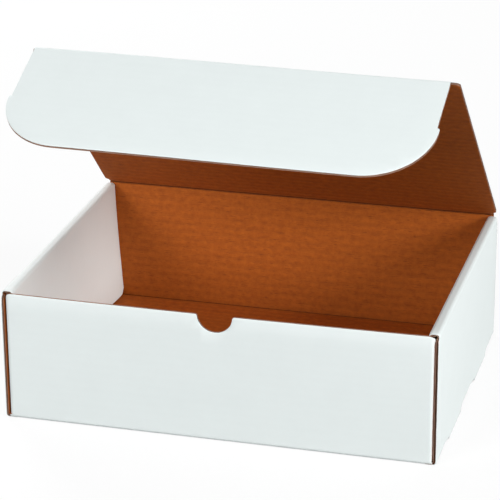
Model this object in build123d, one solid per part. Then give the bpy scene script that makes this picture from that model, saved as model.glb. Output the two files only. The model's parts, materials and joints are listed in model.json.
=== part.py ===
"""Corrugated mailer box: one die-cut sheet folded into a tray, a hinged lid and a tuck flap.

Frame: origin at the centre of the bottom panel's outer face, +X to the right, +Y to the
hinge side, +Z up. Lengths are in millimetres, angles in degrees.
"""
from build123d import *
from math import cos, radians, sin
import os

# Overall outside sizes
WIDTH = 306.0
DEPTH = 231.0
HEIGHT = 95.5
FRONT_DROP = 1.5

# The board and how tightly its layers lie
BOARD = 2.4
LAYER_GAP = 0.1
PLAY = 0.4

# Side walls: outer leg, rolled top and inner leg
SIDE_SETBACK = 0.5
CORNER_FLAP_LENGTH = 90.0
CORNER_FLAP_DROP = 4.0
CORNER_RADIUS = 4.0

# Tabs of the inner legs, locked in slots at the bottom folds
TAB_LENGTH = 52.0
TAB_SPACING = 100.0
SLOT_END_PLAY = 0.8
LOCK_BULGE = 0.9
LOCK_BULGE_HEIGHT = 9.0

# Thumb notch in the front wall
NOTCH_RADIUS = 12.5
NOTCH_LIP_RADIUS = 1.5

# Lid
LID_INSET = 2.0
LID_OPEN_ANGLE = 42.4
HINGE_GAP = 0.3

# Tuck flap
FLAP_NECK_LENGTH = 44.5
FLAP_SIDE_PLAY = 0.5
FLAP_FLOOR_PLAY = 0.8
EAR_POCKET_PLAY = 1.2
FLAP_FOLD_ANGLE = 67.2
FOLD_GAP = 0.5
SHOULDER_PLAY = 0.5

# How far a cut runs past the faces it opens, and how near a rounding comes to a full width
CUT_MARGIN = 1.0
NEARLY_FULL = 0.999

# Faces and edges that follow from the sizes above
FRONT_HEIGHT = HEIGHT - FRONT_DROP
WALL_HALF = WIDTH / 2 - BOARD - LAYER_GAP
INNER_FACE = WALL_HALF - BOARD - LAYER_GAP - BOARD
FRONT_INSIDE = -DEPTH / 2 + BOARD
BACK_INSIDE = DEPTH / 2 - BOARD
TUCK_FACE = FRONT_INSIDE + PLAY
ROLL_BACK = BACK_INSIDE - PLAY
EAR_POCKET = TUCK_FACE + BOARD + EAR_POCKET_PLAY
HINGE_Y = DEPTH / 2 - BOARD / 2
HINGE_Z = HEIGHT + HINGE_GAP + BOARD / 2
FOLD_DISTANCE = HINGE_Y - TUCK_FACE - BOARD / 2
LID_HALF = WIDTH / 2 - LID_INSET
NECK_HALF = INNER_FACE - FLAP_SIDE_PLAY
EAR_HALF = WALL_HALF - BOARD - FLAP_SIDE_PLAY
FLAP_REACH = HINGE_Z - BOARD - FLAP_FLOOR_PLAY


def block(x_span, y_span, z_span):
    """A box between two corners, given as a low and a high value on each axis."""
    size = [high - low for low, high in (x_span, y_span, z_span)]
    middle = [(low + high) / 2 for low, high in (x_span, y_span, z_span)]
    return Pos(*middle) * Box(*size)


def outline(points):
    """A closed flat face through the points, in the XY plane."""
    return make_face(Polyline(*points, close=True))


def along_x(face, low, high):
    """Stand a face drawn in (Y, Z) up and run it from low to high along X."""
    return extrude(Plane.YZ.offset(low) * face, high - low)


def along_y(face, low, high):
    """Stand a face drawn in (X, Z) up and run it from low to high along Y."""
    return extrude(Plane.XZ.offset(-high) * face, high - low)


def rounded(face, radius, wanted):
    """The face with its corners at the wanted points rounded."""
    picked = [v for v in face.vertices()
              if any(abs(v.X - x) < 1e-3 and abs(v.Y - y) < 1e-3 for x, y in wanted)]
    return fillet(picked, radius)


def end_wall(height, notched):
    """The front wall, with rounded folds to the bottom and to both corner flaps."""
    top_corners = [(-WALL_HALF, height), (WALL_HALF, height)]
    face = Pos(0, height / 2) * Rectangle(2 * WALL_HALF, height)
    face = rounded(face, CORNER_RADIUS, top_corners)
    if notched:
        face = face - Pos(0, height) * Circle(NOTCH_RADIUS)
        face = rounded(face, NOTCH_LIP_RADIUS, [(-NOTCH_RADIUS, height), (NOTCH_RADIUS, height)])
    wall = along_y(face, -DEPTH / 2, FRONT_INSIDE)
    plan = extrude(RectangleRounded(2 * WALL_HALF, DEPTH, BOARD), height)
    low_edge = [(-DEPTH / 2, 0)]
    profile = rounded(Pos(0, height / 2) * Rectangle(DEPTH, height), BOARD, low_edge)
    wall = wall & plan & along_x(profile, -WALL_HALF, WALL_HALF)
    flap_top = height - CORNER_FLAP_DROP
    for side in (-1, 1):
        x_span = sorted((side * (WALL_HALF - BOARD), side * WALL_HALF))
        y_span = (FRONT_INSIDE, FRONT_INSIDE + CORNER_FLAP_LENGTH)
        wall += block(x_span, y_span, (BOARD + PLAY, flap_top))
        # the die cut that frees the corner flap from the bottom panel
        cut_x = sorted((side * (WALL_HALF - BOARD), side * (WALL_HALF + PLAY)))
        wall -= block(cut_x, (-DEPTH / 2 + BOARD / 2, FRONT_INSIDE), (0, BOARD + PLAY))
    return wall


def bottom_panel():
    """The bottom panel between the four bottom folds."""
    half_x = WIDTH / 2 - BOARD
    return block((-half_x, half_x), (FRONT_INSIDE, BACK_INSIDE), (0, BOARD))


def tab_centres():
    """The Y places of the two locking tabs of a side wall."""
    return (-TAB_SPACING / 2, TAB_SPACING / 2)


def side_wall():
    """The right side wall: outer leg, rolled top, inner leg and its two tabs."""
    top = HEIGHT
    leg_in = WIDTH / 2 - BOARD
    roll_in = INNER_FACE + BOARD
    y_out = DEPTH / 2 - SIDE_SETBACK
    shoulder = FRONT_HEIGHT - CORNER_FLAP_DROP
    outer = Pos((leg_in + WIDTH / 2) / 2, (top - BOARD) / 2) * Rectangle(BOARD, top - BOARD)
    outer = rounded(outer, BOARD * NEARLY_FULL, [(WIDTH / 2, 0)])
    outer_leg = along_y(outer, -y_out, y_out)
    cut_x = (leg_in - CUT_MARGIN, WIDTH / 2 + CUT_MARGIN)
    outer_leg -= block(cut_x, (-DEPTH / 2, TUCK_FACE), (shoulder, top))
    outer_leg -= block(cut_x, (ROLL_BACK, DEPTH / 2), (shoulder, top))
    roll_width = WIDTH / 2 - INNER_FACE
    roll_middle = INNER_FACE + roll_width / 2
    roll = Pos(roll_middle, top - BOARD) * Rectangle(roll_width, 2 * BOARD)
    roll = rounded(roll, BOARD * NEARLY_FULL, [(INNER_FACE, top), (WIDTH / 2, top)])
    roll -= Pos(roll_middle, top - 2 * BOARD) * Rectangle(roll_width, 2 * BOARD)
    rolled_top = along_y(roll, TUCK_FACE, ROLL_BACK)
    inner_leg = block((INNER_FACE, roll_in), (EAR_POCKET, ROLL_BACK), (BOARD + PLAY, top - BOARD))
    wall = outer_leg + rolled_top + inner_leg
    for centre in tab_centres():
        tab_span = (centre - TAB_LENGTH / 2, centre + TAB_LENGTH / 2)
        slot_span = (tab_span[0] - SLOT_END_PLAY, tab_span[1] + SLOT_END_PLAY)
        wall -= block(cut_x, slot_span, (-CUT_MARGIN, BOARD + PLAY))
        foot = outline([
            (leg_in, 0), (WIDTH / 2 + LOCK_BULGE, 0), (WIDTH / 2 + LOCK_BULGE, BOARD),
            (WIDTH / 2, LOCK_BULGE_HEIGHT), (leg_in, LOCK_BULGE_HEIGHT),
        ])
        wall += along_y(foot, *tab_span)
        wall += block((INNER_FACE, roll_in), tab_span, (0, BOARD + PLAY))
    return wall


def slot_cuts():
    """What the slots of the right side take out of the bottom panel."""
    cuts = []
    for centre in tab_centres():
        half = TAB_LENGTH / 2 + SLOT_END_PLAY
        x_span = (INNER_FACE - LAYER_GAP, WIDTH / 2 - BOARD)
        cuts.append(block(x_span, (centre - half, centre + half), (-CUT_MARGIN, BOARD + CUT_MARGIN)))
    return cuts


def tray():
    """Bottom, front, back and both side walls, all one folded sheet."""
    base = bottom_panel()
    for cut in slot_cuts():
        base = base - cut - mirror(cut, about=Plane.YZ)
    side = side_wall()
    back = mirror(end_wall(HEIGHT, notched=False), about=Plane.XZ)
    return base + end_wall(FRONT_HEIGHT, notched=True) + back + side + mirror(side, about=Plane.YZ)


def open_lid(shape):
    """Turn a shape that is drawn shut about the lid's hinge to the rest angle."""
    hinge = Axis((0, HINGE_Y, HINGE_Z), (-1, 0, 0))
    return shape.rotate(hinge, LID_OPEN_ANGLE)


def lid():
    """The lid panel, drawn shut: round at the hinge, with a shoulder each side of the flap's neck."""
    front = HINGE_Y - FOLD_DISTANCE
    neck = NECK_HALF + SHOULDER_PLAY
    inner_front = front + BOARD / 2 + FOLD_GAP
    face = outline([
        (-LID_HALF, HINGE_Y), (-LID_HALF, front), (-neck, front), (-neck, inner_front),
        (neck, inner_front), (neck, front), (LID_HALF, front), (LID_HALF, HINGE_Y),
    ])
    panel = Pos(0, 0, HINGE_Z - BOARD / 2) * extrude(face, BOARD)
    rim = along_x(Pos(HINGE_Y, HINGE_Z) * Circle(BOARD / 2), -LID_HALF, LID_HALF)
    return open_lid(panel + rim)


def tuck_flap():
    """The tuck flap, drawn flat in front of the shut lid, with an ear at each end."""
    fold_y = HINGE_Y - FOLD_DISTANCE
    ear_start = FLAP_NECK_LENGTH + EAR_HALF - NECK_HALF
    ear_radius = FLAP_REACH - ear_start
    tips = [(EAR_HALF, -FLAP_REACH), (-EAR_HALF, -FLAP_REACH)]
    face = outline([
        (-NECK_HALF, 0), (NECK_HALF, 0), (NECK_HALF, -FLAP_NECK_LENGTH), (EAR_HALF, -ear_start),
        *tips, (-EAR_HALF, -ear_start), (-NECK_HALF, -FLAP_NECK_LENGTH),
    ])
    face = rounded(face, ear_radius * NEARLY_FULL, tips)
    panel = Pos(0, fold_y, HINGE_Z - BOARD / 2) * extrude(face, BOARD)
    rim = along_x(Pos(fold_y, HINGE_Z) * Circle(BOARD / 2), -NECK_HALF, NECK_HALF)
    fold = Axis((0, fold_y, HINGE_Z), (1, 0, 0))
    return open_lid((panel + rim).rotate(fold, FLAP_FOLD_ANGLE))


def fold_axis():
    """The Y and Z of the fold between lid and flap, at rest."""
    angle = radians(LID_OPEN_ANGLE)
    return HINGE_Y - FOLD_DISTANCE * cos(angle), HINGE_Z + FOLD_DISTANCE * sin(angle)


os.makedirs("parts", exist_ok=True)
for name, shape in (("tray", tray()), ("lid", lid()), ("tuck_flap", tuck_flap())):
    export_step(shape, f"parts/{name}.step")
    print(name, "solids", len(shape.solids()), "volume", round(shape.volume))
print("hinge at y, z", round(HINGE_Y, 3), round(HINGE_Z, 3))
print("fold at y, z", *(round(value, 4) for value in fold_axis()))
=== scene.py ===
"""Corrugated mailer box: the look of its folded board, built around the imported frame.

The box is one die-cut sheet of single-wall board. Every panel is built flat, as it lies on the
blank, from a white top liner, a kraft inner liner and the wavy fluting medium between them, and
is then folded into its place. Blank coordinates are (u, v) in metres: u runs along the flutes,
v across them, and w is the height above the middle of the board, towards the white side.
"""
import json
import logging
import math
from dataclasses import dataclass, field
from enum import Enum
from typing import Callable, Iterable

import bmesh
import bpy
import numpy as np
from mathutils import Matrix, Vector

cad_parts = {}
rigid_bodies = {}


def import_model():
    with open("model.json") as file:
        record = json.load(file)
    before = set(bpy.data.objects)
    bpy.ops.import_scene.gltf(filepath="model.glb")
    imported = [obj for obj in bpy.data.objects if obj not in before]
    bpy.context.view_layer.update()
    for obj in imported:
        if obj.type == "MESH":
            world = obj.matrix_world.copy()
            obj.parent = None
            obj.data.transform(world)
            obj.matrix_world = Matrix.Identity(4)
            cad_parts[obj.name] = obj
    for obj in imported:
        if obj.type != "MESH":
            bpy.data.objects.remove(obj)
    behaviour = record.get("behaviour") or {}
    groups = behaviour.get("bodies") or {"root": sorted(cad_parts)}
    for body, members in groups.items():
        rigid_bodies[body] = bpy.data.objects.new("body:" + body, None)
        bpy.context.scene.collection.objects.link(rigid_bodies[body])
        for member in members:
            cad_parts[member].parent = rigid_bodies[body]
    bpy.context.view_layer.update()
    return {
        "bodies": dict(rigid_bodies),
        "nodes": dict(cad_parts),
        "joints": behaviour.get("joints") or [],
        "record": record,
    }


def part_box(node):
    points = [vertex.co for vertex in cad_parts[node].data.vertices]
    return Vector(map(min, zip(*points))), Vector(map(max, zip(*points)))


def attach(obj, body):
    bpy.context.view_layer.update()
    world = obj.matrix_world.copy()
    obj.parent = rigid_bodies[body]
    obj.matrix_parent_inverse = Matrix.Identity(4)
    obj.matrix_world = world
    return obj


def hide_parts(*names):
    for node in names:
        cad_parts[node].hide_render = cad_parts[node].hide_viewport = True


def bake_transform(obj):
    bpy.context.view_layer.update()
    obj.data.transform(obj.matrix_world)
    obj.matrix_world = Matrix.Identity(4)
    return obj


MM = 0.001
QUARTER = math.pi / 2
BLANK_UV = "Blank"
FOLD_SHADE_MASK = "fold_shade_mask"
SOFT_ANGLE = math.radians(32)
FIBRE_STRETCH = 9.0
PAPER_IOR = 1.5
PAPER_SPECULAR = 0.35
WHITE = "#FFFFFF"
# lengths in metres that only keep rounding from counting
ROUNDING = 1e-9
SAME_PLACE = 1e-7
CLEAR = 1e-6
# how far past an edge of the outline a face is still cut by it
TRIM_REACH = 0.05 * MM
X, Y, Z = Vector((1, 0, 0)), Vector((0, 1, 0)), Vector((0, 0, 1))

Point = tuple[float, float]
Shaper = Callable[[float, float, float, Vector], Vector]

log = logging.getLogger("mailer_box")


class Face(Enum):
    """The material slots of a board piece, in slot order."""

    WHITE = 0
    KRAFT = 1
    MEDIUM = 2


class Flutes(Enum):
    """How a sheet's flutes lie to its folded section."""

    ALONG_SECTION = "flutes follow the section round its folds"
    ACROSS_SECTION = "flutes run parallel to the folds"


def smooth_step(value: float) -> float:
    """A soft step from 0 to 1 as value goes from 0 to 1."""
    held = min(1.0, max(0.0, value))
    return held * held * (3.0 - 2.0 * held)


def arc(centre: Point, radius: float, start: float, end: float, steps: int = 8) -> list[Point]:
    """Points along an arc.

    Args:
        centre: The arc's centre.
        radius: Its radius.
        start: Its first angle, in degrees.
        end: Its last angle, in degrees.
        steps: The number of chords.

    Returns:
        The points, both ends included.
    """
    angles = [math.radians(start + (end - start) * i / steps) for i in range(steps + 1)]
    return [(centre[0] + radius * math.cos(a), centre[1] + radius * math.sin(a)) for a in angles]


def mirrored(points: list[Point], middle: float = 0.0) -> list[Point]:
    """The points in reverse order, mirrored about u = middle."""
    return [(2 * middle - u, v) for u, v in reversed(points)]


@dataclass(frozen=True)
class Board:
    """Single-wall B-flute board.

    Its cut edges are pressed together by the knife, most where they run along the flutes, and
    the white liner gives way more than the kraft one.

    Attributes:
        caliper: The board's thickness.
        liner: The thickness of each liner.
        medium: The thickness of the fluting medium.
        pitch: The distance from flute to flute.
        segments_per_flute: How finely a flute is divided.
        crush_along: How far the white liner is pressed in at a cut along the flutes.
        crush_across: The same, at a cut across the flutes.
        crush_width: How far from the cut the board is pressed.
        inner_crush: The share of that by which the kraft liner is pressed in.
        medium_crush: The share of it by which the medium's swing shrinks.
        fold_swing: How much of its wave the medium keeps in a fold.
        crease_depth: How deep a fold's crease is pressed into the kraft side.
        crease_half: How far that crease reaches past the fold.
        rim_rings: The widths of the rings of faces along a sheet's rim.
        cell: The spacing of a sheet's other faces.
    """

    caliper: float = 2.4 * MM
    liner: float = 0.25 * MM
    medium: float = 0.22 * MM
    pitch: float = 6.35 * MM
    segments_per_flute: int = 8
    crush_along: float = 0.5 * MM
    crush_across: float = 0.12 * MM
    crush_width: float = 1.3 * MM
    inner_crush: float = 0.3
    medium_crush: float = 0.65
    fold_swing: float = 0.35
    crease_depth: float = 1.1 * MM
    crease_half: float = 1.1 * MM
    rim_rings: tuple[float, ...] = (0.35 * MM, 0.45 * MM, 0.5 * MM)
    cell: float = 11.0 * MM

    @property
    def half(self) -> float:
        """Half the board's caliper."""
        return self.caliper / 2

    @property
    def wave(self) -> float:
        """How far the medium's middle swings from the middle of the board."""
        return self.half - self.liner - self.medium / 2


@dataclass(frozen=True)
class Run:
    """One stretch of a folded section: straight, or turning left by its turn in radians."""

    length: float
    turn: float = 0.0


def fold(radius: float, turn: float) -> Run:
    """A fold's run, from the radius of the board's middle and its turn in radians."""
    return Run(radius * abs(turn), turn)


class FoldedLine:
    """The line that the middle of the board follows in a section, with the white side on its right."""

    def __init__(self, start: Point, heading: float, runs: Iterable[Run]) -> None:
        """Lays the runs one after another.

        Args:
            start: Where the line starts in the section's plane.
            heading: Its first direction, in radians.
            runs: Its straight and turning stretches.
        """
        self.legs: list[tuple[float, float, float, float, Run]] = []
        travelled, (across, up) = 0.0, start
        for run in runs:
            self.legs.append((travelled, across, up, heading, run))
            across, up, heading = self.step(across, up, heading, run, run.length)
            travelled += run.length
        self.length = travelled

    @staticmethod
    def step(
        across: float, up: float, heading: float, run: Run, way: float
    ) -> tuple[float, float, float]:
        """Goes some way along a run.

        Args:
            across: The run's start, on the plane's first axis.
            up: Its start on the second axis.
            heading: The heading there.
            run: The run.
            way: How far to go.

        Returns:
            The place and the heading there.
        """
        if run.turn == 0.0:
            return across + way * math.cos(heading), up + way * math.sin(heading), heading
        bend = run.turn / run.length
        turned = heading + bend * way
        across += (math.sin(turned) - math.sin(heading)) / bend
        up -= (math.cos(turned) - math.cos(heading)) / bend
        return across, up, turned

    def at(self, distance: float) -> tuple[float, float, float, bool]:
        """Where the line is at a distance from its start.

        Args:
            distance: The way along the line. Past an end, the end leg goes on.

        Returns:
            The place in the section's plane, the heading, and whether that is in a fold.
        """
        found = self.legs[0]
        for leg in self.legs:
            if distance >= leg[0] - ROUNDING:
                found = leg
        began, across, up, heading, run = found
        across, up, heading = self.step(across, up, heading, run, distance - began)
        return across, up, heading, run.turn != 0.0

    def fold_stations(self, margin: float, chords: int = 6) -> list[float]:
        """The distances at which the board needs a row of vertices to bend.

        Args:
            margin: How far before and after each fold one more row lies.
            chords: The number of chords in a fold.

        Returns:
            The distances from the line's start.
        """
        stations = []
        for began, _, _, _, run in self.legs:
            if run.turn:
                stations += [began + run.length * i / chords for i in range(chords + 1)]
                stations += [began - margin, began + run.length + margin]
        return stations


@dataclass(frozen=True)
class Section:
    """A folded line and the plane it lies in: the two axes of the plane and the one across it."""

    line: FoldedLine
    right: Vector
    up: Vector
    across: Vector
    flutes: Flutes

    @classmethod
    def of_depth(cls, line: FoldedLine) -> "Section":
        """A section in the plane of Y and Z, with its flutes and its folds along X."""
        return cls(line, Y, Z, X, Flutes.ACROSS_SECTION)

    def place(self, u: float, v: float, w: float) -> Vector:
        """Folds one point of the board.

        Args:
            u: Its place along the flutes on the blank.
            v: Its place across them.
            w: Its height towards the white side.

        Returns:
            Its place on the folded box.
        """
        follows = self.flutes is Flutes.ALONG_SECTION
        way, side = (u, v) if follows else (v, u)
        x, y, heading, _ = self.line.at(way)
        outward = self.right * math.sin(heading) - self.up * math.cos(heading)
        return self.right * x + self.up * y + self.across * side + outward * w

    def in_fold(self, u: float, v: float) -> bool:
        """Whether that point of the blank is bent."""
        return self.line.at(u if self.flutes is Flutes.ALONG_SECTION else v)[3]


def inside(outline: list[Point], x: float, y: float) -> bool:
    """Tests a point against a closed outline.

    Args:
        outline: The outline's corners.
        x: The point's first coordinate.
        y: Its second one.

    Returns:
        Whether the point lies inside.
    """
    hit = False
    for (ax, ay), (bx, by) in zip(outline, outline[1:] + outline[:1]):
        if (ay > y) != (by > y) and x < ax + (y - ay) * (bx - ax) / (by - ay):
            hit = not hit
    return hit


def bisect(bm: bmesh.types.BMesh, faces: list, point: Point, normal: Point) -> None:
    """Cuts flat faces along a line, without taking anything away.

    Args:
        bm: The flat layer.
        faces: The faces to cut.
        point: A point of the line.
        normal: A direction square to it.
    """
    edges = {e for f in faces for e in f.edges}
    verts = {v for f in faces for v in f.verts}
    bmesh.ops.bisect_plane(
        bm, geom=[*faces, *edges, *verts], dist=SAME_PLACE,
        plane_co=(*point, 0.0), plane_no=(*normal, 0.0),
    )


@dataclass
class Sheet:
    """One stretch of the board, from its outline on the blank to its folded mesh.

    Attributes:
        name: The piece's name.
        outline: Its closed outline on the blank, anticlockwise.
        section: The folded section that it follows.
        board: The board it is cut from.
        joined: Lines of the outline where the board goes on into the next stretch, as
            ("u" or "v", value) pairs. Every other edge is a cut one.
        blank_place: Where its own (0, 0) lies on the blank, so that no fibres repeat.
        shaper: A last change of shape, such as a bow, given (u, v, w, place).
        flute_phase: Where in a flute the sheet's v = 0 lies, in turns.
        cuts: The outline's cut edges, one a row, worked out from the outline.
    """

    name: str
    outline: list[Point]
    section: Section
    board: Board
    joined: tuple[tuple[str, float], ...] = ()
    blank_place: Point = (0.0, 0.0)
    shaper: Shaper | None = None
    flute_phase: float = 0.0
    cuts: np.ndarray = field(init=False)

    def __post_init__(self) -> None:
        """Lists the outline's cut edges."""
        ends = zip(self.outline, self.outline[1:] + self.outline[:1])
        cut = [(*a, *b) for a, b in ends if not self.is_joined(a, b)]
        self.cuts = np.array(cut, float).reshape(-1, 4)

    def is_joined(self, a: Point, b: Point) -> bool:
        """Tests an edge of the outline.

        Args:
            a: The edge's start.
            b: Its end.

        Returns:
            Whether it lies on a joined line.
        """
        for axis, value in self.joined:
            i = 0 if axis == "u" else 1
            if max(abs(a[i] - value), abs(b[i] - value)) < SAME_PLACE:
                return True
        return False

    def span(self, axis: int) -> tuple[float, float]:
        """The outline's lowest and highest value on a blank axis."""
        values = [p[axis] for p in self.outline]
        return min(values), max(values)

    def crush(self, places: np.ndarray) -> np.ndarray:
        """How far the knife presses the white liner inwards at points of the blank.

        Args:
            places: The points, one (u, v) a row.

        Returns:
            The depth at each point.
        """
        if not len(self.cuts):
            return np.zeros(len(places))
        start, way = self.cuts[:, :2], self.cuts[:, 2:] - self.cuts[:, :2]
        length = np.maximum(np.linalg.norm(way, axis=1), ROUNDING)
        along = np.abs(way[:, 0]) / length
        depth = self.board.crush_across + (self.board.crush_along - self.board.crush_across) * along
        rel = places[:, None, :] - start[None]
        share = np.clip((rel * way[None]).sum(2) / length ** 2, 0, 1)
        distance = np.linalg.norm(rel - share[:, :, None] * way[None], axis=2)
        left = 1 - np.clip(distance / self.board.crush_width, 0, 1)
        return (depth[None] * left * left).max(axis=1)

    def stations(self, axis: int, spacing: float) -> list[float]:
        """Divides the sheet on a blank axis: evenly, and closely in its folds.

        Args:
            axis: 0 for u and 1 for v.
            spacing: The even spacing.

        Returns:
            The places of the divisions, in order.
        """
        low, high = self.span(axis)
        count = max(1, round((high - low) / spacing))
        found = [low + (high - low) * i / count for i in range(1, count)]
        section_axis = 0 if self.section.flutes is Flutes.ALONG_SECTION else 1
        if axis == section_axis:
            found += self.section.line.fold_stations(self.board.crease_half)
        return sorted({round(s, 7) for s in found if low + CLEAR < s < high - CLEAR})

    def flat_liner(self) -> bmesh.types.BMesh:
        """Makes the outline a flat face, with rings along its rim and divided for bending.

        Returns:
            The flat layer.
        """
        bm = bmesh.new()
        bm.faces.new([bm.verts.new((*p, 0.0)) for p in self.outline])
        for ring in self.board.rim_rings:
            inner = max(bm.faces, key=lambda f: f.calc_area())
            bmesh.ops.inset_region(
                bm, faces=[inner], thickness=ring, depth=0.0, use_boundary=True, use_even_offset=True
            )
        for axis, normal in ((0, (1.0, 0.0)), (1, (0.0, 1.0))):
            for station in self.stations(axis, self.board.cell):
                bisect(bm, bm.faces[:], (normal[0] * station, normal[1] * station), normal)
        return bm

    def flat_medium(self) -> bmesh.types.BMesh:
        """Makes a flat grid, fine across the flutes, and trims it to the outline.

        Returns:
            The flat layer.
        """
        (u0, u1), (v0, v1) = self.span(0), self.span(1)
        rows = max(2, round((v1 - v0) / self.board.pitch * self.board.segments_per_flute))
        columns = max(2, round((u1 - u0) / self.board.cell))
        bm = bmesh.new()
        bmesh.ops.create_grid(bm, x_segments=columns, y_segments=rows, size=0.5)
        bmesh.ops.scale(bm, vec=(u1 - u0, v1 - v0, 1.0), verts=bm.verts[:])
        bmesh.ops.translate(bm, vec=((u0 + u1) / 2, (v0 + v1) / 2, 0.0), verts=bm.verts[:])
        if self.section.flutes is Flutes.ALONG_SECTION:
            for station in self.section.line.fold_stations(self.board.crease_half):
                if u0 < station < u1:
                    bisect(bm, bm.faces[:], (station, 0.0), (1.0, 0.0))
        self.trim(bm)
        return bm

    def trim(self, bm: bmesh.types.BMesh) -> None:
        """Cuts a flat grid along the outline and deletes what lies outside it.

        Args:
            bm: The flat grid.
        """
        reach = TRIM_REACH
        for a, b in zip(self.outline, self.outline[1:] + self.outline[:1]):
            low = (min(a[0], b[0]) - reach, min(a[1], b[1]) - reach)
            high = (max(a[0], b[0]) + reach, max(a[1], b[1]) + reach)
            near = []
            for face in bm.faces:
                us = [v.co.x for v in face.verts]
                vs = [v.co.y for v in face.verts]
                if max(us) > low[0] and min(us) < high[0] and max(vs) > low[1] and min(vs) < high[1]:
                    near.append(face)
            if near:
                bisect(bm, near, a, (b[1] - a[1], a[0] - b[0]))
        outside = []
        for face in bm.faces:
            middle = face.calc_center_median()
            if not inside(self.outline, middle.x, middle.y):
                outside.append(face)
        bmesh.ops.delete(bm, geom=outside, context="FACES")

    def thicken(self, bm: bmesh.types.BMesh, thickness: float) -> None:
        """Gives a flat layer its thickness, half on each side of w = 0.

        Args:
            bm: The flat layer.
            thickness: Its thickness.
        """
        top = bm.faces[:]
        made = bmesh.ops.extrude_face_region(bm, geom=top)
        low = [g for g in made["geom"] if isinstance(g, bmesh.types.BMVert)]
        bmesh.ops.translate(bm, verts=bm.verts[:], vec=(0.0, 0.0, thickness / 2))
        bmesh.ops.translate(bm, verts=low, vec=(0.0, 0.0, -thickness))
        bmesh.ops.recalc_face_normals(bm, faces=bm.faces[:])

    def fold_up(self, bm: bmesh.types.BMesh, height: Callable[[np.ndarray], np.ndarray]) -> None:
        """Writes the blank's UV map and the fold mask for painted shade, gives the layer its height, and
        folds it.

        Args:
            bm: The flat layer, with its thickness about w = 0.
            height: The height of the layer's middle at blank points, one (u, v) a row.
        """
        uv = bm.loops.layers.uv.new(BLANK_UV)
        fold_shade_mask = bm.verts.layers.float.new(FOLD_SHADE_MASK)
        for face in bm.faces:
            face.smooth = True
            for loop in face.loops:
                co = loop.vert.co
                loop[uv].uv = (co.x + self.blank_place[0], co.y + self.blank_place[1])
        verts = bm.verts[:]
        places = np.array([(v.co.x, v.co.y) for v in verts], float).reshape(-1, 2)
        lift = height(places)
        for vert, rise in zip(verts, lift):
            u, v, w = vert.co
            # the fold mask: the kraft paper is darkened at these points as painted shade, for the shadow
            # in each crease's inner corner
            vert[fold_shade_mask] = float(self.section.in_fold(u, v))
            w += float(rise)
            place = self.section.place(u, v, w)
            vert.co = self.shaper(u, v, w, place) if self.shaper else place
        bmesh.ops.recalc_face_normals(bm, faces=bm.faces[:])

    def layer(self, side: int) -> bmesh.types.BMesh:
        """Makes one liner of the folded sheet.

        Args:
            side: 1 for the white liner and -1 for the kraft one.

        Returns:
            The folded liner.
        """
        board = self.board
        bm = self.flat_liner()
        self.thicken(bm, board.liner)
        skin = Face.WHITE if side > 0 else Face.KRAFT
        for face in bm.faces:
            outward = face.normal.z * side > 0.5
            white_rim = side > 0 and abs(face.normal.z) < 0.5
            face.material_index = (skin if outward or white_rim else Face.MEDIUM).value
        rest = (board.half - board.liner / 2) * side

        def height(places: np.ndarray) -> np.ndarray:
            """The liner's height: pressed in along cuts, and on the kraft side at creases.

            Args:
                places: Points of the blank, one (u, v) a row.

            Returns:
                The height at each.
            """
            if side > 0:
                return rest - self.crush(places)
            bent = np.array([self.section.in_fold(*p) for p in places])
            return rest + board.inner_crush * self.crush(places) + board.crease_depth * bent

        self.fold_up(bm, height)
        return bm

    def fluting(self) -> bmesh.types.BMesh:
        """Makes the wavy medium of the folded sheet, which folds press flatter.

        Returns:
            The folded medium.
        """
        board = self.board
        bm = self.flat_medium()
        self.thicken(bm, board.medium)
        for face in bm.faces:
            face.material_index = Face.MEDIUM.value

        def height(places: np.ndarray) -> np.ndarray:
            """The medium's height along its wave.

            Args:
                places: Points of the blank, one (u, v) a row.

            Returns:
                The height at each.
            """
            bent = np.array([self.section.in_fold(*p) for p in places])
            swing = board.wave - board.medium_crush * self.crush(places)
            swing = swing * np.where(bent, board.fold_swing, 1.0)
            return swing * np.sin(2 * math.pi * (places[:, 1] / board.pitch + self.flute_phase))

        self.fold_up(bm, height)
        return bm

    def build(self, finishes: "Finishes") -> bpy.types.Object:
        """Makes the finished piece.

        Args:
            finishes: The materials, in slot order.

        Returns:
            The piece's object, at the origin, with its place in its mesh.
        """
        whole = bmesh.new()
        for layer in (self.layer(1), self.layer(-1), self.fluting()):
            part = bpy.data.meshes.new("layer")
            layer.to_mesh(part)
            layer.free()
            whole.from_mesh(part)
            bpy.data.meshes.remove(part)
        for edge in whole.edges:
            edge.smooth = edge.calc_face_angle(0.0) < SOFT_ANGLE
        mesh = bpy.data.meshes.new(self.name)
        whole.to_mesh(mesh)
        whole.free()
        for material in finishes.in_slot_order():
            mesh.materials.append(material)
        piece = add_object(self.name, mesh)
        log.info("%s: %d faces", self.name, len(mesh.polygons))
        return piece


def linear(colour: str) -> tuple[float, float, float, float]:
    """Turns an sRGB hex colour to linear.

    Args:
        colour: The colour, as #RRGGBB.

    Returns:
        Its linear red, green, blue and alpha.
    """
    parts = [int(colour[i:i + 2], 16) / 255 for i in (1, 3, 5)]
    red, green, blue = (c / 12.92 if c <= 0.04045 else ((c + 0.055) / 1.055) ** 2.4 for c in parts)
    return red, green, blue, 1.0


def add_node(tree: bpy.types.NodeTree, kind: str, settings: dict | None = None,
             links: dict | None = None) -> bpy.types.Node:
    """Adds a node with its settings and links.

    Args:
        tree: The material's or world's node tree.
        kind: The node's type.
        settings: Node properties by name, and socket values by socket name.
        links: Output sockets by the name or number of the input they feed.

    Returns:
        The node.
    """
    node = tree.nodes.new(kind)
    for name, value in (settings or {}).items():
        if isinstance(name, str) and hasattr(node, name) and name not in node.inputs:
            setattr(node, name, value)
        else:
            node.inputs[name].default_value = value
    for name, socket in (links or {}).items():
        tree.links.new(socket, node.inputs[name])
    return node


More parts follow.
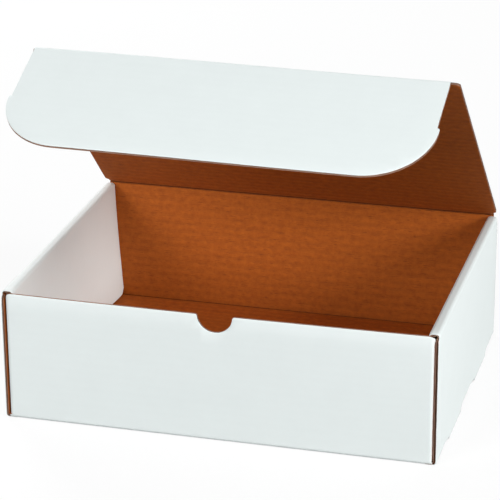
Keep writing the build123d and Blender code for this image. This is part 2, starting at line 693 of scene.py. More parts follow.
def add_object(name: str, data: bpy.types.ID) -> bpy.types.Object:
    """Adds an object to the scene.

    Args:
        name: Its name.
        data: Its mesh, lamp or camera.

    Returns:
        The object.
    """
    made = bpy.data.objects.new(name, data)
    bpy.context.scene.collection.objects.link(made)
    return made


def new_material(name: str) -> tuple[bpy.types.Material, bpy.types.NodeTree]:
    """Makes an empty node material.

    Args:
        name: Its name.

    Returns:
        The material and its node tree.
    """
    material = bpy.data.materials.new(name)
    material.use_nodes = True
    material.node_tree.nodes.clear()
    return material, material.node_tree


def wave_scale(period: float) -> float:
    """The Wave node's scale that gives a period in metres, since it turns 20 radians a unit."""
    return 2 * math.pi / (20.0 * period)


@dataclass(frozen=True)
class Paper:
    """One ply of paper.

    Attributes:
        name: The material's name.
        shade: Its main colour, as sRGB hex.
        deep: The darker colour of its clouding.
        fleck: The colour of single long fibres and specks.
        fleck_share: How much the flecks count.
        cloud: The size of its clouding.
        fibre: The width of a fibre. A real one is about 0.03 mm, too fine to show, so it is
            drawn ten to twenty times as coarse.
        washboard: How far the flutes print through, in metres.
        washboard_tint: How much the print-through darkens the colour.
        fold_shade_tint: How much darker the paper is painted in a fold, as painted shade for the shadow in
            the crease's inner corner.
        roughness: The surface's roughness.
        grain: The height of the paper's grain, in metres.
    """

    name: str
    shade: str
    deep: str
    fleck: str
    fleck_share: float
    cloud: float
    fibre: float
    washboard: float
    washboard_tint: float
    fold_shade_tint: float
    roughness: float
    grain: float

    def make(self, pitch: float) -> bpy.types.Material:
        """Builds the material.

        Args:
            pitch: The board's flute pitch.

        Returns:
            The material, which reads the blank's UV map.
        """
        material, tree = new_material(self.name)
        blank = add_node(tree, "ShaderNodeUVMap", {"uv_map": BLANK_UV}).outputs["UV"]
        cloud = add_node(
            tree, "ShaderNodeTexNoise",
            {"Scale": 1 / self.cloud, "Detail": 5.0, "Roughness": 0.65}, {"Vector": blank},
        )
        stretched = add_node(
            tree, "ShaderNodeMapping", {"Scale": (1 / FIBRE_STRETCH, 1.0, 1.0)}, {"Vector": blank}
        )
        fibres = add_node(
            tree, "ShaderNodeTexNoise",
            {"Scale": 1 / self.fibre, "Detail": 3.0, "Roughness": 0.6, "Distortion": 0.8},
            {"Vector": stretched.outputs["Vector"]},
        )
        flutes = add_node(
            tree, "ShaderNodeTexWave",
            {"wave_type": "BANDS", "bands_direction": "Y", "wave_profile": "SIN",
             "Scale": wave_scale(pitch), "Distortion": 0.6, "Detail": 2.0, "Detail Scale": 0.6},
            {"Vector": blank},
        )
        clouded = add_node(
            tree, "ShaderNodeMapRange", {"From Min": 0.3, "From Max": 0.7}, {"Value": cloud.outputs["Fac"]}
        )
        ground = add_node(
            tree, "ShaderNodeMix",
            {"data_type": "RGBA", 6: linear(self.shade), 7: linear(self.deep)},
            {0: clouded.outputs["Result"]},
        )
        flecked = add_node(
            tree, "ShaderNodeMapRange",
            {"From Min": 0.56, "From Max": 0.78, "To Max": self.fleck_share},
            {"Value": fibres.outputs["Fac"]},
        )
        fibrous = add_node(
            tree, "ShaderNodeMix", {"data_type": "RGBA", 7: linear(self.fleck)},
            {0: flecked.outputs["Result"], 6: ground.outputs[2]},
        )
        ridge = add_node(
            tree, "ShaderNodeMapRange", {"To Min": 1.0, "To Max": 1.0 - self.washboard_tint},
            {"Value": flutes.outputs["Fac"]},
        )
        # painted shade: darkens the paper in every fold, for the shadow in the crease's inner corner
        fold_shade_mask = add_node(tree, "ShaderNodeAttribute", {"attribute_name": FOLD_SHADE_MASK})
        pressed = add_node(
            tree, "ShaderNodeMapRange", {"To Min": 1.0, "To Max": 1.0 - self.fold_shade_tint},
            {"Value": fold_shade_mask.outputs["Fac"]},
        )
        shading = add_node(
            tree, "ShaderNodeMath", {"operation": "MULTIPLY"},
            {0: ridge.outputs["Result"], 1: pressed.outputs["Result"]},
        )
        colour = add_node(
            tree, "ShaderNodeVectorMath", {"operation": "SCALE"},
            {0: fibrous.outputs[2], "Scale": shading.outputs[0]},
        )
        print_through = add_node(
            tree, "ShaderNodeBump", {"Strength": 1.0, "Distance": self.washboard},
            {"Height": flutes.outputs["Fac"]},
        )
        grain = add_node(
            tree, "ShaderNodeBump", {"Strength": 1.0, "Distance": self.grain},
            {"Height": fibres.outputs["Fac"], "Normal": print_through.outputs["Normal"]},
        )
        shader = add_node(
            tree, "ShaderNodeBsdfPrincipled",
            {"Roughness": self.roughness, "IOR": PAPER_IOR, "Specular IOR Level": PAPER_SPECULAR},
            {"Base Color": colour.outputs["Vector"], "Normal": grain.outputs["Normal"]},
        )
        add_node(tree, "ShaderNodeOutputMaterial", links={"Surface": shader.outputs["BSDF"]})
        return material


@dataclass(frozen=True)
class Finishes:
    """The three papers of the board.

    The top liner is bleached and lightly coated, which gives a smooth cool white. The inner
    liner is plain kraft, red-brown and fibrous, with the flutes showing through as faint
    lines, and painted shade darkens it in every fold, for the shadow in the crease's inner
    corner. The medium is paler and rougher, and shows only at the cut edges.
    """

    pitch: float
    white: Paper = Paper(
        "bleached_top_liner", shade="#E8EFEE", deep="#E6EDEC", fleck="#DCE2E1", fleck_share=0.2,
        cloud=22 * MM, fibre=0.35 * MM, washboard=0.012 * MM, washboard_tint=0.004, fold_shade_tint=0.0,
        roughness=0.55, grain=0.012 * MM,
    )
    # the kraft's fold tint is painted shade for the shadow in its creases
    kraft: Paper = Paper(
        "kraft_inner_liner", shade="#B85F13", deep="#9E4D0C", fleck="#5A2504", fleck_share=0.8,
        cloud=5 * MM, fibre=0.7 * MM, washboard=0.06 * MM, washboard_tint=0.09, fold_shade_tint=0.7,
        roughness=0.8, grain=0.03 * MM,
    )
    medium: Paper = Paper(
        "fluting_medium", shade="#B8927E", deep="#A47D68", fleck="#74503E", fleck_share=0.5,
        cloud=6 * MM, fibre=0.4 * MM, washboard=0.0, washboard_tint=0.0, fold_shade_tint=0.0,
        roughness=0.85, grain=0.03 * MM,
    )

    def in_slot_order(self) -> list[bpy.types.Material]:
        """Makes each material once.

        Returns:
            The materials, in the order of Face.
        """
        made = []
        for paper in (self.white, self.kraft, self.medium):
            made.append(bpy.data.materials.get(paper.name) or paper.make(self.pitch))
        return made


@dataclass(frozen=True)
class BoxSizes:
    """The folded box's sizes. The outer ones come from the frame, and the rest follow.

    Attributes:
        half_width: Half the width over the outer legs, without their bulges at the tabs.
        half_depth: Half the depth over the front and back walls.
        height: The height of the back and side walls.
        hinge: The lid's hinge.
        fold: The fold between lid and tuck flap, at rest.
        flap_turn: The angle folded between lid and flap, at rest.
        board: The board.
        layer_gap: The gap between two layers that lie flat on each other.
        play: The gap left where a panel slides past another.
        front_drop: How much lower the front wall is than the back one.
        corner_flap_length: The length of the corner flaps.
        corner_flap_drop: How far they stay under the walls' tops.
        corner_radius: The radius at the top corners of the front and back walls.
        flap_foot_radius: The radius at a corner flap's lower corner.
        flap_tip_radius: The radius at its upper corner.
        side_setback: How far the side walls stand back from the front and back faces.
        tab_length: The length of a locking tab.
        tab_spacing: The distance between the middles of a wall's two tabs.
        slot_end_play: The play at each end of a tab in its slot.
        lock_bulge: How far the outer leg stands out at a locked tab.
        lid_inset: How far the lid's sides stand in from the side walls' faces.
        crease: How far the creased strips reach from a joint's axis.
    """

    half_width: float
    half_depth: float
    height: float
    hinge: Vector
    fold: Vector
    flap_turn: float
    board: Board = Board()
    layer_gap: float = 0.1 * MM
    play: float = 0.4 * MM
    front_drop: float = 1.5 * MM
    corner_flap_length: float = 90 * MM
    corner_flap_drop: float = 4 * MM
    corner_radius: float = 4 * MM
    flap_foot_radius: float = 3 * MM
    flap_tip_radius: float = 8 * MM
    side_setback: float = 0.5 * MM
    tab_length: float = 52 * MM
    tab_spacing: float = 100 * MM
    slot_end_play: float = 0.8 * MM
    lock_bulge: float = 0.9 * MM
    lid_inset: float = 0.6 * MM
    crease: float = 3 * MM

    @classmethod
    def from_frame(cls, frame: dict) -> "BoxSizes":
        """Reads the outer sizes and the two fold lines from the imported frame.

        Args:
            frame: The frame's record.

        Returns:
            The box's sizes.
        """
        _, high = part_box("tray")
        joints = {joint["name"]: joint for joint in frame["joints"]}
        hinge, turn = joints["lid_hinge"], joints["tuck_flap_fold"]
        return cls(
            half_width=high.x - cls.lock_bulge, half_depth=high.y, height=high.z,
            hinge=Vector(hinge["pos_m"]), fold=Vector(turn["pos_m"]),
            flap_turn=-math.radians(turn["range_deg"][0]),
        )

    @property
    def middle(self) -> float:
        """The radius of the board's middle in a sharp fold."""
        return self.board.half

    @property
    def wall_half(self) -> float:
        """Half the width over the folds of the front and back walls."""
        return self.half_width - self.board.caliper - self.layer_gap

    @property
    def inner_face(self) -> float:
        """The place of the inner legs' inner faces."""
        return self.wall_half - 2 * self.board.caliper - self.layer_gap

    @property
    def wall_inside(self) -> float:
        """The place of the front and back walls' inner faces."""
        return self.half_depth - self.board.caliper

    @property
    def front_height(self) -> float:
        """The height of the front wall."""
        return self.height - self.front_drop

    @property
    def tab_centres(self) -> Point:
        """The middles of a side wall's two tabs, along the wall."""
        return -self.tab_spacing / 2, self.tab_spacing / 2

    @property
    def lid_rise(self) -> float:
        """The angle between the lid and the level, at rest."""
        return math.atan2(self.fold.z - self.hinge.z, self.hinge.y - self.fold.y)

    @property
    def lid_reach(self) -> float:
        """The distance from hinge to flap fold."""
        return (self.fold - self.hinge).length


@dataclass
class Tray:
    """The bottom, the four walls, the corner flaps and the rolled side walls.

    The board is springy, so the front wall's top bows out, the inner legs lean in at their ends,
    and the outer legs stand off a little towards the front. Places along a side wall are counted
    from its middle.

    Attributes:
        sizes: The box's sizes.
        finishes: The board's papers.
        front_bow: How far the front wall's top bows out at its middle.
        bow_power: How the bow grows with the height.
        notch_radius: The radius of the thumb notch.
        notch_lip: The radius of the notch's two corners.
        inner_lift: How far the inner legs' free edges end above their tabs' tips.
        ear_room: The room left beside a corner flap for the tuck flap's ear.
        end_ease: The length over which a wall's end steps back, or is cut off at its corners.
        shoulder_cut: How far the end of the outer leg is rounded off at its shoulder.
        tab_nose: The length of a tab's tapered end.
        tab_taper: How much the tab narrows there, on each side.
        curl_left: How far the left inner leg leans in at the back.
        curl_right: The same for the right one.
        curl_power: How the lean grows down the leg.
        curl_from: Where the lean at the back starts.
        front_curl_share: The share of it at the front, which grows as the square.
        front_curl_from: Where the lean at the front starts.
        front_curl_over: The length over which it grows.
        gap_left: How far the left outer leg stands off at the front.
        gap_right: The same for the right one.
        gap_from: Where that starts.
        gap_over: The length over which it grows.
        lock_height: The height up to which a locked tab holds the outer leg in place.
        lock_fade: The height over which the leg's bulge there fades.
        lock_ease: The length over which both fade beside the tab.
        phase_left: The left wall's flute phase.
        phase_right: The right wall's one.
    """

    sizes: BoxSizes
    finishes: Finishes
    front_bow: float = 1.7 * MM
    bow_power: float = 1.6
    notch_radius: float = 12.5 * MM
    notch_lip: float = 1.5 * MM
    inner_lift: float = 4.0 * MM
    ear_room: float = 1.2 * MM
    end_ease: float = 2 * MM
    shoulder_cut: float = 0.4 * MM
    tab_nose: float = 2 * MM
    tab_taper: float = 3 * MM
    curl_left: float = 5.5 * MM
    curl_right: float = 2.0 * MM
    curl_power: float = 1.3
    curl_from: float = 45 * MM
    front_curl_share: float = 0.25
    front_curl_from: float = 85 * MM
    front_curl_over: float = 28 * MM
    gap_left: float = 1.0 * MM
    gap_right: float = 0.4 * MM
    gap_from: float = 60 * MM
    gap_over: float = 55 * MM
    lock_height: float = 20 * MM
    lock_fade: float = 9 * MM
    lock_ease: float = 2 * MM
    phase_left: float = 0.39
    phase_right: float = 0.36

    def make(self) -> list[bpy.types.Object]:
        """Builds every sheet of the tray and puts it on the tray's body.

        Returns:
            The tray's pieces.
        """
        pieces = [
            self.bottom(), self.end_wall(front=True), self.end_wall(front=False),
            self.side_wall(1), self.side_wall(-1),
        ]
        for piece in pieces:
            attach(piece, "tray")
        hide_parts("tray")
        return pieces

    def bottom(self) -> bpy.types.Object:
        """Builds the bottom panel, with the folds up to the front and back walls.

        Returns:
            The panel's piece.
        """
        s = self.sizes
        curve = fold(s.middle, QUARTER)
        flat = 2 * s.wall_inside
        line = FoldedLine((-s.half_depth + s.middle, s.board.caliper), -QUARTER, [curve, Run(flat), curve])
        wide, narrow = s.wall_half, s.inner_face - s.layer_gap
        end = line.length
        outline = [
            (-wide, 0.0), (wide, 0.0), (wide, curve.length), (narrow, curve.length),
            (narrow, end - curve.length), (wide, end - curve.length), (wide, end), (-wide, end),
            (-wide, end - curve.length), (-narrow, end - curve.length), (-narrow, curve.length),
            (-wide, curve.length),
        ]
        joined = (("v", 0.0), ("v", end), ("u", narrow), ("u", -narrow))
        sheet = Sheet("bottom_panel", outline, Section.of_depth(line), s.board, joined)
        return sheet.build(self.finishes)

    def end_wall(self, front: bool) -> bpy.types.Object:
        """Builds the front or the back wall with its two corner flaps.

        Args:
            front: Whether it is the front wall.

        Returns:
            The wall's piece.
        """
        s = self.sizes
        facing = 1 if front else -1
        curve = fold(s.middle, QUARTER)
        flap, wide = s.corner_flap_length, 2 * (s.wall_half - s.board.caliper)
        start = (-(s.wall_half - s.middle), -s.wall_inside + flap)
        line = FoldedLine(start, -QUARTER, [Run(flap), curve, Run(wide), curve, Run(flap)])
        section = Section(line, X * facing, Y * facing, Z, Flutes.ALONG_SECTION)
        middle = line.length / 2
        height = s.front_height if front else s.hinge.z - s.crease
        wall_top = s.front_height if front else s.height
        flap_top = wall_top - s.corner_flap_drop
        low, flap_low = s.board.caliper, s.board.caliper + s.play
        half = s.wall_half - s.corner_radius
        right = [(line.length - flap, low), (line.length - flap, flap_low)]
        foot, tip = s.flap_foot_radius, s.flap_tip_radius
        right += arc((line.length - foot, flap_low + foot), foot, -90, 0, 5)
        right += arc((line.length - tip, flap_top - tip), tip, 0, 90, 8)
        corner = arc((middle + half, wall_top - s.corner_radius), s.corner_radius, 0, 90, 7)
        right += [p for p in corner if p[1] <= height + ROUNDING]
        if corner[-1][1] > height:
            right.append((middle + half, height))
        notch = self.notch(middle, height) if front else []
        outline = [*right, *notch, *mirrored(right, middle)]
        joined = (("v", low),) if front else (("v", low), ("v", height))

        def bow(_u: float, v: float, _w: float, place: Vector) -> Vector:
            """Bows the front wall's top out.

            Args:
                v: The point's height on the blank.
                place: Its place on the folded box.

            Returns:
                Its place on the bowed wall.
            """
            share = max(0.0, 1 - (place.x / s.wall_half) ** 2)
            rise = max(0.0, (v - low) / (height - low))
            return place - Y * (self.front_bow * share * rise ** self.bow_power)

        name = "front_wall" if front else "back_wall"
        return Sheet(
            name, outline, section, s.board, joined,
            blank_place=(0.7, 0.4 * facing), shaper=bow if front else None,
        ).build(self.finishes)

    def notch(self, middle: float, height: float) -> list[Point]:
        """Draws the thumb notch in the front wall's top edge.

        Args:
            middle: The wall's middle on the blank.
            height: The top edge's height.

        Returns:
            Its points, from right to left.
        """
        radius, lip = self.notch_radius, self.notch_lip
        spread = math.sqrt((radius + lip) ** 2 - lip ** 2)
        tilt = math.degrees(math.asin(lip / (radius + lip)))
        right = arc((middle + spread, height - lip), lip, 90, 180 - tilt, 5)
        bowl = arc((middle, height), radius, -tilt, -180 + tilt, 20)
        left = arc((middle - spread, height - lip), lip, tilt, 90, 5)
        return [*right, *bowl[1:-1], *left]

    def side_wall(self, side: int) -> bpy.types.Object:
        """Builds a side wall: its outer leg, rolled top and inner leg, with tabs and slots.

        Args:
            side: 1 for the right wall and -1 for the left one.

        Returns:
            The wall's piece.
        """
        s = self.sizes
        curve = fold(s.middle, QUARTER)
        sill = s.half_width - s.board.caliper - (s.inner_face - s.layer_gap)
        leg = s.height - 2 * s.board.caliper
        roof = s.half_width - s.inner_face - 2 * s.board.caliper
        inner = s.height - s.board.caliper
        runs = [Run(sill), curve, Run(leg), curve, Run(roof), curve, Run(inner)]
        line = FoldedLine((s.inner_face - s.layer_gap, s.middle), 0.0, runs)
        # on the left wall the plane's right axis and the axis across it both turn round
        section = Section(line, X * side, Z, Y * side, Flutes.ALONG_SECTION)
        leg_start = sill + curve.length
        leg_end = leg_start + leg
        inner_start = leg_end + 2 * curve.length + roof
        end = line.length
        outline = self.side_outline(side, leg_start, leg_end, inner_start, end)
        curl = self.curl_right if side > 0 else self.curl_left
        gap = self.gap_right if side > 0 else self.gap_left
        phase = self.phase_right if side > 0 else self.phase_left
        foot_start = leg_start - s.board.caliper

        def shape(u: float, v: float, w: float, place: Vector) -> Vector:
            """Leans the inner leg in, stands the outer one off, and pushes it out at the tabs.

            Args:
                u: The point's way along the folded section.
                v: Its place across that.
                w: Its height towards the white side.
                place: Its place on the folded box.

            Returns:
                Its place on the sprung wall.
            """
            y = v * side
            if u > inner_start:
                drop = (u - inner_start) / (end - inner_start)
                back = smooth_step((y - self.curl_from) / (s.wall_inside - self.curl_from))
                front = smooth_step((-y - self.front_curl_from) / self.front_curl_over)
                lean = back * drop ** self.curl_power + self.front_curl_share * front * drop ** 2
                return place - X * side * (curl * lean)
            spread = smooth_step((abs(place.x) - s.inner_face) / (2 * s.board.caliper))
            forward = smooth_step((-y - self.gap_from) / self.gap_over)
            place = place + X * side * (gap * spread * forward)
            near = min(abs(v - centre) for centre in s.tab_centres)
            foot = smooth_step((s.tab_length / 2 + s.slot_end_play - near) / self.lock_ease)
            if foot <= 0.0 or not foot_start - CLEAR <= u < leg_start + self.lock_height:
                return place
            x = (s.half_width - s.middle + w) * side
            straight = Vector((x, place.y, s.board.caliper - (leg_start - u)))
            above = max(0.0, straight.z) - s.board.caliper
            push = s.lock_bulge * (1 - smooth_step(above / self.lock_fade))
            return place.lerp(straight + X * side * push, foot)

        name = "right_side_wall" if side > 0 else "left_side_wall"
        return Sheet(
            name, outline, section, s.board, (("u", 0.0),),
            blank_place=(0.0, 0.8 * side), shaper=shape, flute_phase=phase,
        ).build(self.finishes)

    def side_outline(self, side: int, leg_start: float, leg_end: float,
                     inner_start: float, end: float) -> list[Point]:
        """Draws the outline of a side wall on the blank, in the wall's own v direction.

        Args:
            side: 1 for the right wall and -1 for the left one.
            leg_start: Where the outer leg starts.
            leg_end: Where it ends.
            inner_start: Where the inner leg starts.
            end: Where the tabs end.

        Returns:
            The closed outline, anticlockwise.
        """
        s = self.sizes
        y_out = s.half_depth - s.side_setback
        roll = s.wall_inside - s.play
        pocket = s.wall_inside - s.play - s.board.caliper - self.ear_room
        shoulder = leg_start + (s.front_height - s.corner_flap_drop - s.board.caliper)
        foot_start = leg_start - s.board.caliper
        free_end = end - self.inner_lift
        ease = self.end_ease

        def edge(sign: int) -> list[Point]:
            """Draws one end of the wall.

            Args:
                sign: 1 for the end of positive v and -1 for the other one.

            Returns:
                Its points, from the bottom fold to the inner leg's free edge.
            """
            is_front = sign * side < 0
            inner_y = pocket if is_front else roll
            return [
                (0.0, sign * y_out), (shoulder - ease, sign * y_out),
                (shoulder, sign * (y_out - self.shoulder_cut)), (shoulder + ease, sign * roll),
                (leg_end, sign * roll), (inner_start, sign * roll),
                (inner_start + ease, sign * inner_y),
                (free_end - 2 * ease, sign * inner_y),
                (free_end, sign * (inner_y - 2 * ease)),
            ]

        tabs, slots = [], []
        half = s.tab_length / 2
        tip, nose = half - self.tab_taper, end - self.tab_nose
        gap = half + s.slot_end_play
        for centre in s.tab_centres:
            tabs += [
                (free_end, centre - half), (nose, centre - half), (end, centre - tip),
                (end, centre + tip), (nose, centre + half), (free_end, centre + half),
            ]
            slots += [
                (0.0, centre - gap), (foot_start, centre - gap),
                (foot_start, centre + gap), (0.0, centre + gap),
            ]
        return [*edge(-1), *tabs, *reversed(edge(1)), *reversed(slots)]


@dataclass
class Lid:
    """The lid panel, the crease at its hinge, and the crease to the tuck flap.

    Attributes:
        sizes: The box's sizes.
        finishes: The board's papers.
        hinge_radius: The radius of the board's middle round the hinge.
        hinge_inset: How far the hinge crease ends inside the walls' folds.
        hinge_corner: The length over which the panel widens from that to its full width.
        fold_radius: The radius of the board's middle round the fold to the flap.
        neck_play: The play between the flap's neck and each inner leg.
        shoulder_radius: The radius of the right front corner.
        left_shoulder_radius: The radius of the left one.
        right_taper: How much the panel narrows at the right, from hinge to front.
        left_taper: The same at the left.
        warp: How much higher the lid's left front corner stands than the right one.
        warp_power: How that grows from the hinge to the front.
    """

    sizes: BoxSizes
    finishes: Finishes
    hinge_radius: float = 2.6 * MM
    hinge_inset: float = 0.5 * MM
    hinge_corner: float = 2 * MM
    fold_radius: float = 2.0 * MM
    neck_play: float = 0.5 * MM
    shoulder_radius: float = 3.0 * MM
    left_shoulder_radius: float = 5.0 * MM
    right_taper: float = 1.2 * MM
    left_taper: float = 4.5 * MM
    warp: float = 2.8 * MM
    warp_power: float = 1.5

    def make(self) -> list[bpy.types.Object]:
        """Builds the lid panel on the lid's body, and the two creases across the joints.

        Returns:
            The panel and the two creases.
        """
        panel = self.panel()
        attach(panel, "lid")
        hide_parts("lid")
        s = self.sizes
        hinge_turn = QUARTER - s.lid_rise
        hinge = self.strip(
            "hinge_crease", s.hinge, QUARTER, hinge_turn, self.hinge_radius, self.hinge_half
        )
        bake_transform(hinge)
        turn = self.strip(
            "flap_crease", s.fold, math.pi - s.lid_rise, s.flap_turn, self.fold_radius, self.neck_half
        )
        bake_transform(turn)
        return [panel, hinge, turn]

    @property
    def neck_half(self) -> float:
        """Half the width of the flap's neck."""
        return self.sizes.inner_face - self.neck_play

    @property
    def hinge_half(self) -> float:
        """Half the width of the hinge crease."""
        return self.sizes.wall_half - self.hinge_inset

    @staticmethod
    def tangent(radius: float, turn: float) -> float:
        """How far before its corner a fold of that radius starts."""
        return radius * math.tan(turn / 2)

    def strip(self, name: str, corner: Vector, heading: float, turn: float, radius: float,
              half: float) -> bpy.types.Object:
        """Builds a strip of board that goes round a fold whose corner is at a joint's axis.

        Args:
            name: The piece's name.
            corner: The joint's axis.
            heading: The section's heading before the fold.
            turn: The turn at rest.
            radius: The radius of the board's middle.
            half: Half the strip's length along the fold.

        Returns:
            The strip's piece.
        """
        s = self.sizes
        straight = s.crease - self.tangent(radius, turn)
        start = (corner.y - s.crease * math.cos(heading), corner.z - s.crease * math.sin(heading))
        line = FoldedLine(start, heading, [Run(straight), fold(radius, turn), Run(straight)])
        outline = [(-half, 0.0), (half, 0.0), (half, line.length), (-half, line.length)]
        joined = (("v", 0.0), ("v", line.length))
        base = s.lid_reach if corner == s.fold else 0.0

        def warp(_u: float, v: float, _w: float, place: Vector) -> Vector:
            """Warps the strip with the lid."""
            return self.lifted(place, max(0.0, min(s.lid_reach, base + v - line.length / 2)))

        return Sheet(
            name, outline, Section.of_depth(line), s.board, joined,
            blank_place=(2.0, corner.y), shaper=warp,
        ).build(self.finishes)

    def lifted(self, place: Vector, way: float) -> Vector:
        """Warps the free lid, whose left front corner stands a little higher.

        Args:
            place: A point of the lid or the flap.
            way: Its distance from the hinge along the lid, at most the lid's reach.

        Returns:
            The point, lifted square to the lid.
        """
        s = self.sizes
        side = 0.5 * (1 - place.x / s.half_width)
        square = Vector((0.0, math.sin(s.lid_rise), math.cos(s.lid_rise)))
        share = smooth_step(side) * (way / s.lid_reach) ** self.warp_power
        return place + square * (self.warp * share)

    def panel(self) -> bpy.types.Object:
        """Builds the lid panel between its two creases, with a shoulder each side of the neck.

        Returns:
            The panel's piece.
        """
        s = self.sizes
        half, neck = s.half_width - s.lid_inset, self.neck_half
        end = s.lid_reach
        low, high = s.crease, end - s.crease
        line = FoldedLine((s.hinge.y, s.hinge.z), math.pi - s.lid_rise, [Run(end)])

        def edge(taper: float, radius: float) -> list[Point]:
            """Draws one side of the panel.

            Args:
                taper: How much it narrows to the front.
                radius: The radius of its front corner.

            Returns:
                Its points, from the hinge crease to the flap's neck.
            """
            centre = half - taper - radius
            last = math.degrees(math.acos(max(0.0, neck - centre) / radius))
            curve = arc((centre, end - radius), radius, 0, last, 6)
            closing = [(neck, end)] if centre > neck else []
            back = [(self.hinge_half, low), (half, low + self.hinge_corner)]
            return [*back, *curve, *closing, (neck, high)]

        right = edge(self.right_taper, self.shoulder_radius)
        left = mirrored(edge(self.left_taper, self.left_shoulder_radius))

        def warp(_u: float, v: float, _w: float, place: Vector) -> Vector:
            """Warps the panel."""
            return self.lifted(place, v)

        return Sheet(
            "lid_panel", [*right, *left], Section.of_depth(line), s.board,
            (("v", low), ("v", high)), blank_place=(1.4, 0.0), shaper=warp,
        ).build(self.finishes)


@dataclass
class TuckFlap:
    """The tuck flap with its neck and its two rounded ears.

    Attributes:
        sizes: The box's sizes.
        finishes: The board's papers.
        lid: The lid it hangs on.
        neck_length: How far the neck reaches at the right, from the fold.
        left_neck_extra: How much further it reaches at the left.
        left_neck_flare: How much the neck widens towards the left ear.
        right_neck_flare: The same towards the right ear.
        right_ear_step: How far the right ear stands out past the neck.
        left_ear_step: The same for the left one.
        ear_corner: The angle at which the ear's rounded corner leaves the neck, in degrees.
        floor_play: The play between the flap's free edge and the bottom when shut.
    """

    sizes: BoxSizes
    finishes: Finishes
    lid: Lid
    neck_length: float = 44.5 * MM
    left_neck_flare: float = 1.2 * MM
    right_neck_flare: float = -0.8 * MM
    right_ear_step: float = 1.9 * MM
    left_ear_step: float = 1.8 * MM
    left_neck_extra: float = 4.5 * MM
    ear_corner: float = -70.0
    floor_play: float = 0.8 * MM

    def half_outline(self, flare: float, neck_length: float, step: float, reach: float) -> list[Point]:
        """Draws one side of the flap's outline, from the crease to its free edge.

        Args:
            flare: How much the neck widens from the crease to the ear.
            neck_length: How far the neck reaches.
            step: How far the ear stands out past the neck.
            reach: The flap's reach from its fold.

        Returns:
            The points, for the side of positive u.
        """
        neck = self.lid.neck_half
        wide = neck + flare
        ear_start = neck_length + step
        radius = reach - ear_start
        points = [(neck, self.sizes.crease), (wide, neck_length)]
        points += arc((wide, ear_start), step, self.ear_corner, 0, 4)
        points += arc((wide + step - radius, reach - radius), radius, 0, 90, 20)[1:]
        return points

    def make(self) -> list[bpy.types.Object]:
        """Builds the flap on its body.

        Returns:
            The flap's piece.
        """
        s = self.sizes
        reach = s.hinge.z - s.board.caliper - self.floor_play
        heading = math.pi - s.lid_rise + s.flap_turn
        line = FoldedLine((s.fold.y, s.fold.z), heading, [Run(reach)])
        right = self.half_outline(self.right_neck_flare, self.neck_length, self.right_ear_step, reach)
        left = self.half_outline(
            self.left_neck_flare, self.neck_length + self.left_neck_extra, self.left_ear_step, reach
        )

        def warp(_u: float, _v: float, _w: float, place: Vector) -> Vector:
            """Warps the flap as far as the lid's front edge."""
            return self.lid.lifted(place, s.lid_reach)

        piece = Sheet(
            "tuck_flap_panel", [*right, *mirrored(left)], Section.of_depth(line), s.board,
            (("v", s.crease),), blank_place=(1.4, 0.4), shaper=warp,
        ).build(self.finishes)
        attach(piece, "tuck_flap")
        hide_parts("tuck_flap")
        return [piece]


@dataclass(frozen=True)
class Softbox:
    """A square soft lamp: its name, its place, the length of its side, and its power in watts."""

    name: str
    place: tuple[float, float, float]
    size: float
    power: float

    def make(self, aim: Vector) -> None:
        """Hangs the lamp.

        Args:
            aim: The point that it faces.
        """
        light = bpy.data.lights.new(self.name, "AREA")
        light.shape = "SQUARE"
        light.size = self.size
        light.energy = self.power
        lamp = add_object(self.name, light)
        lamp.location = self.place
        lamp.rotation_euler = (aim - Vector(self.place)).to_track_quat("-Z", "Y").to_euler()


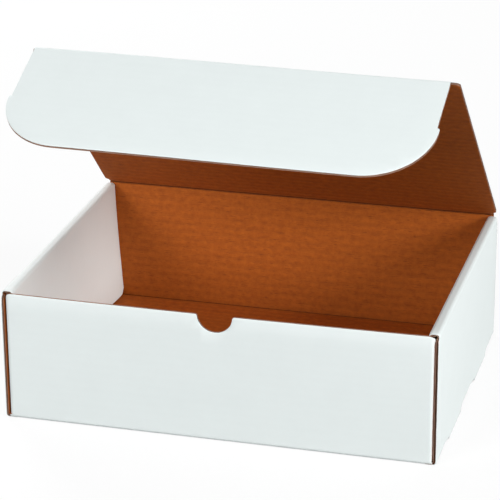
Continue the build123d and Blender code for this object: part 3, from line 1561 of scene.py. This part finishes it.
@dataclass(frozen=True)
class Studio:
    """The floor, the world, the soft lamps and the camera.

    Attributes:
        lens: The camera's focal length, in millimetres on a sensor 36 mm wide.
        sensor: The sensor's width, in millimetres.
        eye: The camera's place.
        yaw: How far it is turned to the right, in radians.
        pitch: How far it looks down.
        roll: How far it leans.
        view_depth: How far it sees.
        floor_size: The floor's side.
        floor_drop: How far the floor lies under the box, so that the two don't share a plane.
        floor_shade: The floor's colour where it throws light back at the box.
        shadow_share: The share of the shown floor that takes shadow.
        sky_shade: The colour of the surround's light.
        sky_top: Its strength overhead.
        sky_rim: Its strength at the horizon.
        lamps: The soft lamps.
        aim: The point that they face, in the middle of the box.
    """

    lens: float = 170.33
    sensor: float = 36.0
    eye: tuple[float, float, float] = (0.40964, -1.52037, 0.72090)
    yaw: float = -0.2674
    pitch: float = 0.3773
    roll: float = -0.0064
    view_depth: float = 100.0
    floor_size: float = 12.0
    floor_drop: float = 0.1 * MM
    floor_shade: str = "#969696"
    shadow_share: float = 0.14
    sky_shade: str = "#F8FDFF"
    sky_top: float = 0.23
    sky_rim: float = 0.12
    lamps: tuple[Softbox, ...] = (
        Softbox("key_softbox", (2.0, -0.85, 0.95), 0.8, 47.0),
        Softbox("front_softbox", (-1.0, -1.98, 1.02), 0.9, 31.0),
        Softbox("back_softbox", (-1.5, 1.9, 1.3), 0.9, 38.0),
    )
    aim: tuple[float, float, float] = (0.0, 0.0, 0.08)

    def make(self) -> None:
        """Builds all of it."""
        self.floor()
        self.world()
        for lamp in self.lamps:
            lamp.make(Vector(self.aim))
        self.camera()

    @staticmethod
    def shown(tree: bpy.types.NodeTree) -> bpy.types.NodeSocket:
        """Tells what is seen from what only lights the box.

        Args:
            tree: The node tree of the floor or the world.

        Returns:
            An output that is 1 for the camera's rays and for reflections, and 0 for light.
        """
        path = add_node(tree, "ShaderNodeLightPath")
        return add_node(
            tree, "ShaderNodeMath", {"operation": "MAXIMUM"},
            {0: path.outputs["Is Camera Ray"], 1: path.outputs["Is Glossy Ray"]},
        ).outputs[0]

    def floor(self) -> None:
        """A pale floor that shows white, with the object's soft shadow, and clear from below."""
        bm = bmesh.new()
        bmesh.ops.create_grid(bm, x_segments=1, y_segments=1, size=self.floor_size / 2)
        bmesh.ops.translate(bm, vec=(0.0, 0.0, -self.floor_drop), verts=bm.verts[:])
        mesh = bpy.data.meshes.new("floor")
        bm.to_mesh(mesh)
        bm.free()
        material, tree = new_material("white_paper_sweep")
        paper = add_node(tree, "ShaderNodeBsdfDiffuse", {"Color": linear(self.floor_shade)})
        shade = add_node(tree, "ShaderNodeBsdfDiffuse", {"Color": linear(WHITE)})
        glow = add_node(tree, "ShaderNodeEmission", {"Color": linear(WHITE), "Strength": 1.0})
        shaded = add_node(
            tree, "ShaderNodeMixShader", {0: 1 - self.shadow_share},
            {1: shade.outputs[0], 2: glow.outputs[0]},
        )
        mixed = add_node(
            tree, "ShaderNodeMixShader", None,
            {0: self.shown(tree), 1: paper.outputs[0], 2: shaded.outputs[0]},
        )
        side = add_node(tree, "ShaderNodeNewGeometry")
        clear = add_node(tree, "ShaderNodeBsdfTransparent")
        whole = add_node(
            tree, "ShaderNodeMixShader", None,
            {0: side.outputs["Backfacing"], 1: mixed.outputs[0], 2: clear.outputs[0]},
        )
        add_node(tree, "ShaderNodeOutputMaterial", links={"Surface": whole.outputs[0]})
        mesh.materials.append(material)
        floor = add_object("floor", mesh)

    def world(self) -> None:
        """A plain white surround that shows white and lights softly."""
        world = bpy.data.worlds.new("studio")
        world.use_nodes = True
        tree = world.node_tree
        tree.nodes.clear()
        way = add_node(tree, "ShaderNodeTexCoord")
        height = add_node(tree, "ShaderNodeSeparateXYZ", None, {0: way.outputs["Generated"]})
        strength = add_node(
            tree, "ShaderNodeMapRange", {"To Min": self.sky_rim, "To Max": self.sky_top},
            {"Value": height.outputs["Z"]},
        )
        soft = add_node(
            tree, "ShaderNodeBackground", {"Color": linear(self.sky_shade)},
            {"Strength": strength.outputs["Result"]},
        )
        white = add_node(tree, "ShaderNodeBackground", {"Color": linear(WHITE), "Strength": 1.0})
        mixed = add_node(
            tree, "ShaderNodeMixShader", None,
            {0: self.shown(tree), 1: soft.outputs[0], 2: white.outputs[0]},
        )
        add_node(tree, "ShaderNodeOutputWorld", links={"Surface": mixed.outputs[0]})
        bpy.context.scene.world = world

    def camera(self) -> None:
        """A long lens, a little above the box and to its right."""
        data = bpy.data.cameras.new("camera")
        data.lens = self.lens
        data.sensor_width = self.sensor
        data.clip_end = self.view_depth
        camera = add_object("camera", data)
        turn = Matrix.Rotation(-self.yaw, 4, "Z") @ Matrix.Rotation(QUARTER - self.pitch, 4, "X")
        camera.matrix_world = Matrix.Translation(self.eye) @ turn @ Matrix.Rotation(self.roll, 4, "Z")
        bpy.context.scene.camera = camera


def main() -> None:
    """Builds the box in its frame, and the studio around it."""
    logging.basicConfig(level=logging.INFO, format="%(name)s: %(message)s")
    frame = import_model()
    sizes = BoxSizes.from_frame(frame)
    finishes = Finishes(sizes.board.pitch)
    lid = Lid(sizes, finishes)
    for part in (Tray(sizes, finishes), lid, TuckFlap(sizes, finishes, lid)):
        for piece in part.make():
            log.info("built %s", piece.name)
    Studio().make()
    bpy.context.scene.view_settings.view_transform = "Standard"
    bpy.context.view_layer.update()


if __name__ == "__main__":
    main()
